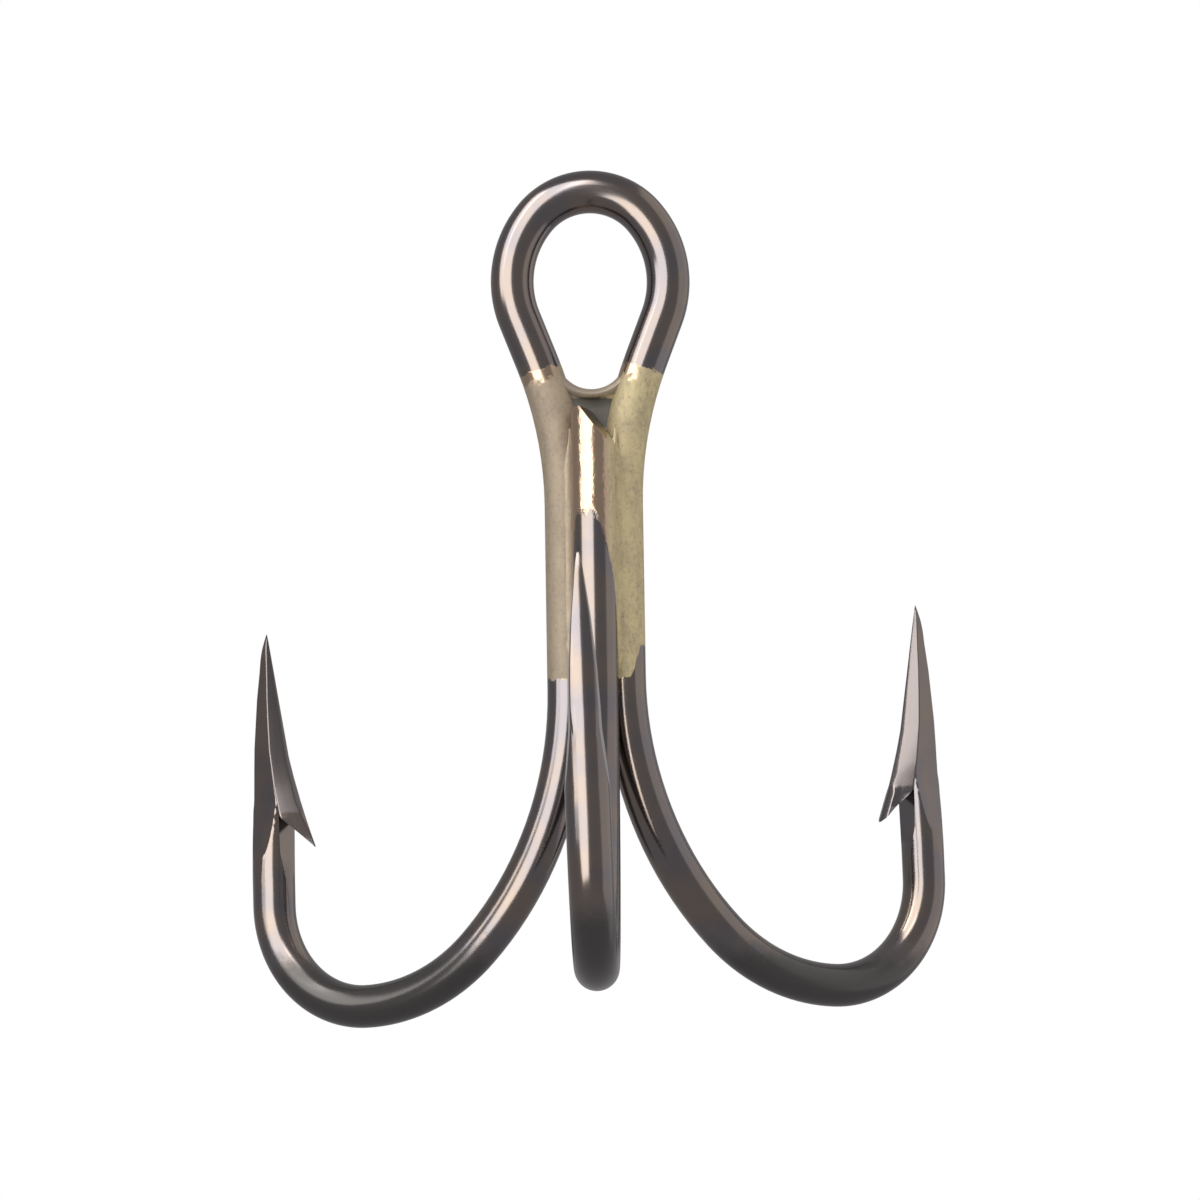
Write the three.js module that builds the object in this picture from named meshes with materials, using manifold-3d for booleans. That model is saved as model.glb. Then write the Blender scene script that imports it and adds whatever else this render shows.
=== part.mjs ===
// Treble hook: three fishing hooks joined back to back.
// One wire is bent into the eye and two hooks, a third hook lies against it, and brass fills the grooves.
// Millimetres, +Z up. The origin is the middle of the eye, in the plane of the eye, at its widest place.

import * as THREE from 'three';
import Module from 'manifold-3d';
import { mergeVertices } from 'three/addons/utils/BufferGeometryUtils.js';

const wasm = await Module();
wasm.setup();

// ---------------------------------------------------------------- driving dimensions

const WIRE_RADIUS = 1.25;
const WIRE_SIDES = 16;
const BEND_STEP = 7.5;            // degrees in one step around a bend

const EYE_TOP_HEIGHT = 5.33;      // centre of the wire at the top of the eye
const EYE_TOP_RADIUS = 4.1;
const EYE_TOP_SWEEP = 50.6;
const EYE_SIDE_RADIUS = 6.03;
const NECK_ANGLE = 21;            // how far each leg of the eye leans in
const NECK_RUN = 2.73;

const SHANK_HALF_SPACING = 1.6;   // from the middle to each shank of the double wire
const THIRD_SHANK_OFFSET = 2.0;   // the third shank sits this far in front of the pair
const BEND_START = -23.9;         // height where the shanks start to curve

const BEND_ARCS = [               // the round bend, from the shank to the point
  { radius: 19.7, sweep: 47.6 },
  { radius: 11.16, sweep: 42.7 },
  { radius: 6.36, sweep: 89.7 },
];
const STEM_LENGTH = 16.1;         // straight wire from the bend to the tip

// Direction of each hook, how much higher it sits, and how far its stem leans sideways.
const LEFT_HOOK = { azimuth: 150.1, lift: -0.1, lean: 0 };
const RIGHT_HOOK = { azimuth: 30.47, lift: 0.7, lean: 0 };
const THIRD_HOOK = { azimuth: -91, lift: 0, lean: 1.4 };

// The ground point, measured down from the tip and out from the axis of the stem, towards the shank.
const POINT_LENGTH = 13.2;
const POINT_BLOCK = 15.8;         // the stretch of the stem that grinding and the chisel touch
const FACET_SPREAD = 1.15;        // half width of a facet pair, for each millimetre behind the edge
const TIP_EDGE = { start: 0.02, slope: 0.163 };
const BARB_EDGE = { start: -0.76, slope: 0.279 };
const BARB_TIP = { out: 2.7, down: 12.4 };
const BARB_ROOT = { out: 1.05, down: 10.2 };
const BARB_HALF_WIDTH = 0.9;
const BARB_METAL_TOP = 5;         // the metal that the barb is made of starts this far down
const NOTCH_LIP = { out: 0.2, down: 0.75 };      // corners of the notch, measured from the barb's root
const NOTCH_FLOOR = { out: -0.05, down: 0.6 };
const CHISEL_END = 15;            // the chisel that raised the barb ran out here

const THIRD_TOP = -7.55;          // flat top of the third shank
const SHEAR_HEIGHT = -7.7;        // the slanted cut crosses the axis of the third shank here
const SHEAR_LEAN = { side: 52, front: 15 };

const JOINT_TOP = -8.9;
const JOINT_BOTTOM = -23.5;
const CLEARANCE = 0.05;           // thin gap that the braze keeps to the wires
const GROOVE_ROOT = 0.4;          // the groove runs start this far from the line where two shanks touch
const GROOVE_REACH = 0.95;        // and reach this far out along each wire
const GROOVE_DIP = 0.7;           // with a hollow face that dips to here
const BACK_DIP = 0.55;            // hollow face of the braze behind the pair

const WEB_TOP = -6.35;            // lowest place of the eye's opening
const WEB_RADIUS = 2.0;
const WEB_HALF_WIDTH = 2.4;
const WEB_THICKNESS = 1.5;

const TOOL_OVERLAP = 0.1;         // cutting tools run past the metal by this
const WELD_DISTANCE = 1e-5;

// ---------------------------------------------------------------- solids

const degrees = THREE.MathUtils.degToRad;
const UP = new THREE.Vector3(0, 0, 1);

function toSolid(geometry) {
  const bare = geometry.clone();
  bare.deleteAttribute('normal');
  bare.deleteAttribute('uv');
  const merged = mergeVertices(bare, WELD_DISTANCE);
  return new wasm.Manifold(new wasm.Mesh({
    numProp: 3,
    vertProperties: Float32Array.from(merged.attributes.position.array),
    triVerts: Uint32Array.from(merged.index.array),
  }));
}

function toGeometry(solid) {
  const mesh = solid.getMesh();
  const geometry = new THREE.BufferGeometry();
  geometry.setAttribute('position', new THREE.BufferAttribute(Float32Array.from(mesh.vertProperties), 3));
  geometry.setIndex(Array.from(mesh.triVerts));
  geometry.computeVertexNormals();
  return geometry;
}

// ---------------------------------------------------------------- bent wire

class Arc extends THREE.Curve {
  constructor(centre, from, axis, angle) {
    super();
    Object.assign(this, { centre, from, axis, angle });
  }

  getPoint(t, target = new THREE.Vector3()) {
    return target.copy(this.from).applyAxisAngle(this.axis, this.angle * t).add(this.centre);
  }

  reversed() {
    const from = this.from.clone().applyAxisAngle(this.axis, this.angle);
    return new Arc(this.centre, from, this.axis, -this.angle);
  }
}

// Follows a wire as a bending machine makes it: straight runs, and bends about an axis.
class WireRoute {
  constructor(start, heading) {
    this.place = start.clone();
    this.heading = heading.clone();
    this.curves = [];
  }

  run(length) {
    const end = this.place.clone().addScaledVector(this.heading, length);
    this.curves.push(new THREE.LineCurve3(this.place.clone(), end));
    this.place = end;
  }

  bend(radius, sweep, axis) {
    const angle = degrees(sweep);
    const inward = axis.clone().cross(this.heading).multiplyScalar(Math.sign(sweep) * radius);
    const centre = this.place.clone().add(inward);
    const arc = new Arc(centre, inward.clone().negate(), axis, angle);
    this.curves.push(arc);
    this.place = arc.getPoint(1);
    this.heading.applyAxisAngle(axis, angle);
  }

  reversedCurves() {
    return this.curves.toReversed().map((curve) => (
      curve instanceof Arc ? curve.reversed() : new THREE.LineCurve3(curve.v2, curve.v1)
    ));
  }
}

function outwards(azimuth) {
  return new THREE.Vector3(Math.cos(degrees(azimuth)), Math.sin(degrees(azimuth)), 0);
}

function addHook(route, hook) {
  route.run(route.place.z - BEND_START - hook.lift);
  const axis = route.heading.clone().cross(outwards(hook.azimuth)).normalize();
  route.bend(BEND_ARCS[0].radius, BEND_ARCS[0].sweep, axis);
  route.bend(BEND_ARCS[1].radius, BEND_ARCS[1].sweep, axis);
  const leaning = axis.clone().applyAxisAngle(route.heading, degrees(hook.lean));
  route.bend(BEND_ARCS[2].radius, BEND_ARCS[2].sweep, leaning);
  route.run(STEM_LENGTH);
}

function halfOfDoubleWire(side, hook) {
  const route = new WireRoute(new THREE.Vector3(0, 0, EYE_TOP_HEIGHT), new THREE.Vector3(side, 0, 0));
  const axis = new THREE.Vector3(0, side, 0);
  route.bend(EYE_TOP_RADIUS, EYE_TOP_SWEEP, axis);
  route.bend(EYE_SIDE_RADIUS, 90 + NECK_ANGLE - EYE_TOP_SWEEP, axis);
  route.run(NECK_RUN);
  const inwardLeft = Math.abs(route.place.x) - SHANK_HALF_SPACING;
  const neckRadius = inwardLeft / (1 - Math.cos(degrees(NECK_ANGLE)));
  route.bend(neckRadius, -NECK_ANGLE, axis);
  addHook(route, hook);
  return route;
}

function thirdRoute() {
  const start = new THREE.Vector3(0, -THIRD_SHANK_OFFSET, THIRD_TOP);
  const route = new WireRoute(start, UP.clone().negate());
  addHook(route, THIRD_HOOK);
  return route;
}

// The stations of a wire: its straight runs in one step each, and its bends in small steps.
class Stations extends THREE.Curve {
  constructor(curves) {
    super();
    this.places = [curves[0].getPoint(0)];
    this.tangents = [curves[0].getTangent(0)];
    for (const curve of curves) {
      const sweep = Math.abs(curve.angle ?? 0);
      const steps = Math.max(1, Math.ceil(sweep / degrees(BEND_STEP)));
      for (let i = 1; i <= steps; i += 1) {
        this.places.push(curve.getPoint(i / steps));
        this.tangents.push(curve.getTangent(i / steps));
      }
    }
    this.steps = this.places.length - 1;
  }

  getSpacedPoints() {
    return this.places;
  }

  getTangentAt(u, target = new THREE.Vector3()) {
    return target.copy(this.tangents[Math.round(u * this.steps)]);
  }
}

function wireGeometry(curves, radius) {
  const extrudePath = new Stations(curves);
  const section = new THREE.Shape();
  for (let i = 0; i < WIRE_SIDES; i += 1) {
    const angle = (2 * Math.PI * i) / WIRE_SIDES;
    const method = i === 0 ? 'moveTo' : 'lineTo';
    section[method](radius * Math.cos(angle), radius * Math.sin(angle));
  }
  section.closePath();
  return new THREE.ExtrudeGeometry(section, { steps: extrudePath.steps, extrudePath });
}

// ---------------------------------------------------------------- the ground point

// The point's own frame has X out towards the shank, Y across, and Z up, with the tip at its origin.
// The back of the point is round, tapers to the tip, and sits a little outside the axis of the stem.
const BACK_SHIFT = -0.15;
const BACK_PROFILE = [
  { down: 0, radius: 0.05 },
  { down: 0.9, radius: 0.2 },
  { down: 3.8, radius: 0.56 },
  { down: 6.7, radius: 0.8 },
  { down: 10, radius: 0.95 },
  { down: POINT_LENGTH, radius: WIRE_RADIUS - BACK_SHIFT },
  { down: POINT_BLOCK, radius: WIRE_RADIUS - BACK_SHIFT },
];

function roundBack() {
  const profile = BACK_PROFILE.map(({ down, radius }) => new THREE.Vector2(radius, -down));
  profile.unshift(new THREE.Vector2(0, 0));
  profile.push(new THREE.Vector2(0, -POINT_BLOCK));
  const geometry = new THREE.LatheGeometry(profile.reverse(), WIRE_SIDES);
  return geometry.rotateX(Math.PI / 2).translate(BACK_SHIFT, 0, 0);
}

// Between the round back and the inner edge the point has flat sides.
function flatSides() {
  const half = BACK_PROFILE.map(({ down, radius }) => [Math.min(radius, WIRE_RADIUS), -down]);
  const shape = new THREE.Shape();
  half.forEach(([across, height], i) => shape[i === 0 ? 'moveTo' : 'lineTo'](across, height));
  half.toReversed().forEach(([across, height]) => shape.lineTo(-across, height));
  shape.closePath();
  const depth = BARB_TIP.out - BACK_SHIFT + TOOL_OVERLAP;
  const geometry = new THREE.ExtrudeGeometry(shape, { depth, bevelEnabled: false });
  return geometry.rotateX(Math.PI / 2).rotateZ(Math.PI / 2).translate(BACK_SHIFT, 0, 0);
}

// Two ground facets meet along the inner edge, which leaves the stem's axis at a slope.
function facetWedge(edge) {
  const reach = 8;
  const shape = new THREE.Shape();
  shape.moveTo(0, 0);
  shape.lineTo(-reach, reach * FACET_SPREAD);
  shape.lineTo(-reach, -reach * FACET_SPREAD);
  shape.closePath();
  const above = 2;
  const depth = POINT_BLOCK + 2 * above;
  const geometry = new THREE.ExtrudeGeometry(shape, { depth, bevelEnabled: false });
  geometry.translate(0, 0, above - depth).rotateY(-Math.atan(edge.slope));
  return geometry.translate(edge.start, 0, 0);
}

// Seen from the side, the barb ends in a sharp tooth over the notch that the chisel left.
function notchOutline() {
  const mouth = { out: BARB_TIP.out + 1, down: BARB_TIP.down + 0.3 };
  const shape = new THREE.Shape();
  shape.moveTo(BARB_TIP.out, -BARB_TIP.down);
  shape.lineTo(BARB_ROOT.out + NOTCH_LIP.out, -BARB_ROOT.down - NOTCH_LIP.down);
  shape.lineTo(BARB_ROOT.out, -BARB_ROOT.down);
  shape.lineTo(BARB_ROOT.out + NOTCH_FLOOR.out, -BARB_ROOT.down - NOTCH_FLOOR.down);
  shape.lineTo(WIRE_RADIUS, -CHISEL_END);
  shape.lineTo(mouth.out, -CHISEL_END);
  shape.lineTo(mouth.out, -mouth.down);
  shape.closePath();
  return shape;
}

function slab(shape, thickness) {
  const geometry = new THREE.ExtrudeGeometry(shape, { depth: thickness, bevelEnabled: false });
  return geometry.translate(0, 0, -thickness / 2).rotateX(Math.PI / 2);
}

// Moves a solid from the point's own frame (X out, Z up, Y across) to the tip of a hook.
function atTip(geometry, route, azimuth) {
  const inward = outwards(azimuth).negate();
  const up = route.heading.clone();
  const across = up.clone().cross(inward).normalize();
  const frame = new THREE.Matrix4().makeBasis(across.clone().cross(up), across, up);
  frame.setPosition(route.place);
  return geometry.clone().applyMatrix4(frame);
}

function grindPoint(wire, route, azimuth) {
  const place = (geometry) => toSolid(atTip(geometry, route, azimuth));
  const block = { width: 8, depth: 4, height: POINT_BLOCK - 0.5, top: 0.5 };
  const stretch = new THREE.BoxGeometry(block.width, block.depth, block.height);
  stretch.translate(0, 0, block.top - block.height / 2);
  const tongueHeight = BARB_TIP.down - BARB_METAL_TOP;
  const tongue = new THREE.BoxGeometry(BARB_TIP.out, 2 * BARB_HALF_WIDTH, tongueHeight);
  tongue.translate(BARB_TIP.out / 2, 0, -BARB_METAL_TOP - tongueHeight / 2);
  const facets = place(facetWedge(TIP_EDGE)).add(place(facetWedge(BARB_EDGE)));
  const body = place(roundBack()).add(place(flatSides()));
  const notch = place(slab(notchOutline(), block.depth));
  const waste = place(stretch).subtract(facets.intersect(body)).add(notch);
  return wire.add(place(tongue)).subtract(waste);
}

// ---------------------------------------------------------------- the wires

const left = halfOfDoubleWire(-1, LEFT_HOOK);
const right = halfOfDoubleWire(1, RIGHT_HOOK);
const third = thirdRoute();
const doubleCurves = [...left.reversedCurves(), ...right.curves];

function doubleHookWire() {
  let wire = toSolid(wireGeometry(doubleCurves, WIRE_RADIUS));
  wire = grindPoint(wire, left, LEFT_HOOK.azimuth);
  return grindPoint(wire, right, RIGHT_HOOK.azimuth);
}

// The upper end of the third shank is sheared off at a slant, falling to the front and to one side.
function shearTool() {
  const size = 8;
  const box = new THREE.BoxGeometry(size, size, size).translate(0, 0, size / 2);
  box.rotateX(degrees(SHEAR_LEAN.front)).rotateY(degrees(SHEAR_LEAN.side));
  return toSolid(box.translate(0, -THIRD_SHANK_OFFSET, SHEAR_HEIGHT));
}

function singleHookWire() {
  const wire = toSolid(wireGeometry(third.curves, WIRE_RADIUS));
  return grindPoint(wire, third, THIRD_HOOK.azimuth).subtract(shearTool());
}

// ---------------------------------------------------------------- the braze

const fatDouble = toSolid(wireGeometry(doubleCurves, WIRE_RADIUS + CLEARANCE));
const fatThird = toSolid(wireGeometry(third.curves, WIRE_RADIUS + CLEARANCE));

function clearOfWires(blank) {
  return blank.subtract(fatDouble).subtract(fatThird);
}

function column(shape) {
  const geometry = new THREE.ExtrudeGeometry(shape, {
    depth: JOINT_TOP - JOINT_BOTTOM,
    bevelEnabled: false,
    curveSegments: 6,
  });
  return toSolid(geometry.translate(0, 0, JOINT_BOTTOM));
}

// One run of braze in the groove between the third shank and a shank of the pair.
function grooveRun(side) {
  const a = new THREE.Vector2(0, -THIRD_SHANK_OFFSET);
  const b = new THREE.Vector2(side * SHANK_HALF_SPACING, 0);
  const middle = a.clone().add(b).multiplyScalar(0.5);
  const along = b.clone().sub(a).normalize();
  const out = new THREE.Vector2(side * along.y, -side * along.x);
  const inset = Math.sqrt(WIRE_RADIUS ** 2 - GROOVE_REACH ** 2);
  const fromA = a.clone().addScaledVector(along, inset).addScaledVector(out, GROOVE_REACH);
  const fromB = b.clone().addScaledVector(along, -inset).addScaledVector(out, GROOVE_REACH);
  const dip = middle.addScaledVector(out, 2 * GROOVE_DIP - GROOVE_REACH);
  const shape = new THREE.Shape();
  shape.moveTo(a.x + GROOVE_ROOT * out.x, a.y + GROOVE_ROOT * out.y);
  shape.lineTo(fromA.x, fromA.y);
  shape.quadraticCurveTo(dip.x, dip.y, fromB.x, fromB.y);
  shape.lineTo(b.x + GROOVE_ROOT * out.x, b.y + GROOVE_ROOT * out.y);
  shape.closePath();
  return clearOfWires(column(shape));
}

// The braze between all three shanks, with the fillet behind the pair.
function coreRun() {
  const x = SHANK_HALF_SPACING;
  const inset = Math.sqrt(WIRE_RADIUS ** 2 - GROOVE_REACH ** 2);
  const shape = new THREE.Shape();
  shape.moveTo(0, -THIRD_SHANK_OFFSET + GROOVE_ROOT);
  shape.lineTo(x - GROOVE_ROOT, 0);
  shape.lineTo(x - inset, GROOVE_REACH);
  shape.quadraticCurveTo(0, 2 * BACK_DIP - GROOVE_REACH, -x + inset, GROOVE_REACH);
  shape.lineTo(-x + GROOVE_ROOT, 0);
  shape.closePath();
  return clearOfWires(column(shape));
}

// The thin web of braze that closes the bottom of the eye.
function eyeWeb() {
  const bottom = JOINT_TOP + CLEARANCE;
  const shape = new THREE.Shape();
  shape.moveTo(-WEB_HALF_WIDTH, bottom);
  shape.lineTo(WEB_HALF_WIDTH, bottom);
  shape.lineTo(WEB_HALF_WIDTH, WEB_TOP + WEB_RADIUS);
  shape.lineTo(WEB_RADIUS, WEB_TOP + WEB_RADIUS);
  shape.absarc(0, WEB_TOP + WEB_RADIUS, WEB_RADIUS, 0, -Math.PI, true);
  shape.lineTo(-WEB_HALF_WIDTH, WEB_TOP + WEB_RADIUS);
  shape.closePath();
  return clearOfWires(toSolid(slab(shape, WEB_THICKNESS)));
}

// ---------------------------------------------------------------- the assembly

const plating = { color: 0x5a5049, roughness: 0.3, metalness: 1 };
const brass = { color: 0xa89a72, roughness: 0.55, metalness: 0.9 };

function piece(name, solid, finish) {
  const mesh = new THREE.Mesh(toGeometry(solid), new THREE.MeshStandardMaterial(finish));
  mesh.name = name;
  return mesh;
}

const group = new THREE.Group();
group.add(piece('double_hook_wire', doubleHookWire(), plating));
group.add(piece('single_hook_wire', singleHookWire(), plating));
group.add(piece('braze_left_run', grooveRun(-1), brass));
group.add(piece('braze_right_run', grooveRun(1), brass));
group.add(piece('braze_core', coreRun(), brass));
group.add(piece('braze_eye_web', eyeWeb(), brass));

export default group;
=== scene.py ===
# %% [markdown]
# # A brazed treble hook
#
# The real object is two bent wires and some brass. One long wire is bent into the eye and two
# of the hooks. A short wire makes the third hook. Brass melted in a furnace fills the grooves
# between the three shanks, creeps over them as a gold skin, and closes the bottom of the eye.
#
# The packed model is loaded first. It is the fixed frame that every piece here is made to, and
# its box is kept so that the finished object can be compared with it at the end.

import math

import bmesh
import bpy
from mathutils import Matrix, Vector, noise


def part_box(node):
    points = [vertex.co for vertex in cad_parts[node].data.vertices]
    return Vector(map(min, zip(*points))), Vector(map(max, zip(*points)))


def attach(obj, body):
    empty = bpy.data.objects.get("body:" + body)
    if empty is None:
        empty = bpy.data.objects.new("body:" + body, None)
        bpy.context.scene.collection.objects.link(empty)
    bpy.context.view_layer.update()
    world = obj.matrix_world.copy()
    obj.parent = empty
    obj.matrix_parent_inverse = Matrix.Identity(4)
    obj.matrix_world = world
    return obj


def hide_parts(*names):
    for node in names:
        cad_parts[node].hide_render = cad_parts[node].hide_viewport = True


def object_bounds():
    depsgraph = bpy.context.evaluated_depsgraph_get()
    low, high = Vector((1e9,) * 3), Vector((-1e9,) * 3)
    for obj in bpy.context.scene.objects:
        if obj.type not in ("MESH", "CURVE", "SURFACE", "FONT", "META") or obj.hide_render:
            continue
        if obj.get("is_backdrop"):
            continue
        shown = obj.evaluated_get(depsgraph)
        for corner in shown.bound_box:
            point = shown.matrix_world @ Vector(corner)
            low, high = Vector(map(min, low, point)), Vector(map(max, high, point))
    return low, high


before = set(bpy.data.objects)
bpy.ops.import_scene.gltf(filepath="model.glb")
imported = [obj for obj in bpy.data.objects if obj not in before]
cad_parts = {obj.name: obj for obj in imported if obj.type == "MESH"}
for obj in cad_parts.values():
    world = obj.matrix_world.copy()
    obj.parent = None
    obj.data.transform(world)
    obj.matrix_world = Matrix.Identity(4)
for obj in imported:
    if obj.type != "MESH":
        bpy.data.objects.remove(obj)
cad_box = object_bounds()
MM = 0.001
print("parts in the frame:", sorted(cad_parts))

# %% [markdown]
# Hook makers work in millimetres, so the shapes are built in millimetres and each mesh is
# scaled to metres when it is finished. The heights that the frame knows are read from it. The
# bending sizes are the ones that the wire was bent to in the frame.
#
# No two hooks come out alike, so each has its own record: the way it points, how much higher it
# sits, how far its last bend leans sideways and closes further than planned, and how its point was
# ground. `tip_lean` is how far the tip leans back, `nose` is extra length at the tip, `tooth_edge`
# is half the thickness of the barb's edge, and `side_lean` is the share of the usual lean of the
# side facets.

# %% Sizes of the wire and its bends
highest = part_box("double_hook_wire")[1]
joint_low, joint_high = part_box("braze_core")

WIRE_RADIUS = 1.25
EYE_TOP_HEIGHT = highest.z / MM - WIRE_RADIUS
EYE_TOP_RADIUS = 4.1
EYE_TOP_SWEEP = 50.6
EYE_SIDE_RADIUS = 6.03
NECK_ANGLE = 21
NECK_RUN = 2.73

SHANK_HALF_SPACING = 1.6
THIRD_SHANK_OFFSET = 2.0
BEND_START = -23.9
BEND_ARCS = [(19.7, 47.6), (11.16, 42.7), (6.36, 89.7)]
STEM_LENGTH = 16.1

LEFT_HOOK = {"azimuth": 150.1, "lift": -0.1, "lean": 0, "close": -0.9,
             "tip_lean": 0.12, "nose": 0.15, "tooth_edge": 0.04, "side_lean": 1}
RIGHT_HOOK = {"azimuth": 30.47, "lift": 0.7, "lean": 0, "close": 1.2,
              "tip_lean": 0.17, "nose": 0.2, "tooth_edge": 0.45, "side_lean": 1}
THIRD_HOOK = {"azimuth": -91, "lift": 0, "lean": 1.4, "close": 0,
              "tip_lean": 0, "nose": 0, "tooth_edge": 0.1, "side_lean": 0.3}

JOINT_TOP = joint_high.z / MM
JOINT_BOTTOM = joint_low.z / MM
print(f"eye top at {EYE_TOP_HEIGHT:.2f} mm, joint from {JOINT_BOTTOM:.1f} to {JOINT_TOP:.1f} mm")

# %% [markdown]
# The camera comes early, because everything is judged through it. It stands in front of the
# hook, a little below its middle, and looks up at it with a long lens, so the three hooks keep
# nearly their true sizes.

# %% Camera
CAMERA_DISTANCE = 0.3806
CAMERA_AIM = Vector((0.27, 2.20, -18.41)) * MM
CAMERA_TILT = 8.07
CAMERA_ROLL = -0.933
VIEW_WIDTH = 0.06977

camera_data = bpy.data.cameras.new("camera")
camera_data.sensor_width = 36
camera_data.lens = camera_data.sensor_width * CAMERA_DISTANCE / VIEW_WIDTH
camera = bpy.data.objects.new("camera", camera_data)
turned = Matrix.Rotation(math.radians(90 + CAMERA_TILT), 4, "X")
turned = turned @ Matrix.Rotation(math.radians(CAMERA_ROLL), 4, "Z")
backed_off = Matrix.Translation((0, 0, CAMERA_DISTANCE))
camera.matrix_world = Matrix.Translation(CAMERA_AIM) @ turned @ backed_off
bpy.context.scene.collection.objects.link(camera)
bpy.context.scene.camera = camera
print(f"lens {camera_data.lens:.0f} mm, camera at {[round(x, 3) for x in camera.matrix_world.translation]}")

# %% [markdown]
# ## Bending wire
#
# A tube could be a curve with a round bevel, but a curve can't be ground to a point. Here a
# wire is a ring of vertices that travels. A straight run extrudes the ring, and a bend spins
# it about the centre of the bend, as a bending machine turns the wire about a pin.
#
# Each vertex also keeps the place it would have if the wire were pulled straight. The drawing
# marks of the wire follow that, so they run along it round every bend. A wire that grows both ways
# from its first ring counts forwards on one side and backwards on the other: that is its sense.

# %% A wire that grows ring by ring
SIDES = 128
BEND_STEP = 2.5


def outwards(azimuth):
    return Vector((math.cos(math.radians(azimuth)), math.sin(math.radians(azimuth)), 0))


def edges_of(geometry):
    return [item for item in geometry if isinstance(item, bmesh.types.BMEdge) and item.is_boundary]


class Wire:
    def __init__(self, place, heading):
        self.bm = bmesh.new()
        self.drawn = self.bm.verts.layers.float_vector.new("drawn")
        self.row = self.bm.verts.layers.int.new("row")
        self.ground = self.bm.verts.layers.float.new("ground")
        facing = heading.to_track_quat("Z", "Y").to_matrix().to_4x4()
        bmesh.ops.create_circle(self.bm, segments=SIDES, radius=WIRE_RADIUS,
                                matrix=Matrix.Translation(place) @ facing)
        for vert in self.bm.verts:
            vert[self.drawn] = facing.transposed() @ (vert.co - place)
        self.first_ring = list(self.bm.edges)
        self.start(place, heading, 1)

    def start(self, place, heading, sense):
        self.place, self.heading, self.sense = place.copy(), heading.copy(), sense
        self.ring = self.first_ring

    def new_rings(self, before, step):
        self.bm.verts.ensure_lookup_table()
        for i in range(before, len(self.bm.verts)):
            rings_on = (i - before) // SIDES + 1
            self.bm.verts[i][self.drawn].z += self.sense * step * rings_on

    def run(self, length):
        before = len(self.bm.verts)
        made = bmesh.ops.extrude_edge_only(self.bm, edges=self.ring)["geom"]
        self.ring = edges_of(made)
        moved = [item for item in made if isinstance(item, bmesh.types.BMVert)]
        bmesh.ops.translate(self.bm, verts=moved, vec=self.heading * length)
        self.new_rings(before, length)
        self.place += self.heading * length

    def bend(self, radius, sweep, axis):
        before = len(self.bm.verts)
        steps = math.ceil(abs(sweep) / BEND_STEP)
        centre = self.place + axis.cross(self.heading) * math.copysign(radius, sweep)
        made = bmesh.ops.spin(self.bm, geom=self.ring, cent=centre, axis=axis, steps=steps,
                              angle=math.radians(sweep), use_merge=False)
        self.ring = edges_of(made["geom_last"])
        self.new_rings(before, math.radians(abs(sweep)) * radius / steps)
        turn = Matrix.Rotation(math.radians(sweep), 3, axis)
        self.place = centre + turn @ (self.place - centre)
        self.heading = turn @ self.heading


print(f"{SIDES} vertices in a ring, {math.tau * WIRE_RADIUS / SIDES:.3f} mm apart")

# %% [markdown]
# A hook is three bends in a row, each tighter than the one before, in one upright plane that
# faces the way the hook points. The left hook stays a little open, the right one closes past
# upright, and the last bend of the third one leans. The eye is two bends on each side and a
# counter bend at its neck, which brings the leg back to upright just where the shank begins.

# %% From the shank round to the stem of the point
def bend_hook(wire, hook):
    wire.run(wire.place.z - BEND_START - hook["lift"])
    axis = wire.heading.cross(outwards(hook["azimuth"])).normalized()
    (wide, wide_sweep), (middle, middle_sweep), (tight, tight_sweep) = BEND_ARCS
    wire.bend(wide, wide_sweep, axis)
    wire.bend(middle, middle_sweep, axis)
    leaning = Matrix.Rotation(math.radians(hook["lean"]), 3, wire.heading) @ axis
    wire.bend(tight, tight_sweep + hook["close"], leaning)


def bend_eye_side(wire, side):
    axis = Vector((0, side, 0))
    wire.bend(EYE_TOP_RADIUS, EYE_TOP_SWEEP, axis)
    wire.bend(EYE_SIDE_RADIUS, 90 + NECK_ANGLE - EYE_TOP_SWEEP, axis)
    wire.run(NECK_RUN)
    inward = abs(wire.place.x) - SHANK_HALF_SPACING
    wire.bend(inward / (1 - math.cos(math.radians(NECK_ANGLE))), -NECK_ANGLE, axis)


bent_length = sum(radius * math.radians(sweep) for radius, sweep in BEND_ARCS)
print(f"a hook takes {bent_length + STEM_LENGTH:.1f} mm of wire from the shank to the tip")

# %% [markdown]
# ## Grinding the point
#
# The point starts as round wire and is ground on a wheel. Looked at down the wire, half of the
# ground section is a short steep bevel behind the cutting edge, a wide inner facet, a side
# facet that leans to the back, and what is left of the round back. The facets meet in narrow
# rounded ridges that catch the light.
#
# Booleans with planes would give the facets, but the ridges would then be knife sharp. So the
# ring is extruded towards the tip a little at a time, and its vertices are pulled onto the
# section for that place.
#
# Distances are measured down from the tip, and out from the axis of the stem towards the shank. A
# table pairs a distance down with the size there. The tip and the root of the barb are places, so
# they pair out with down.

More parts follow.
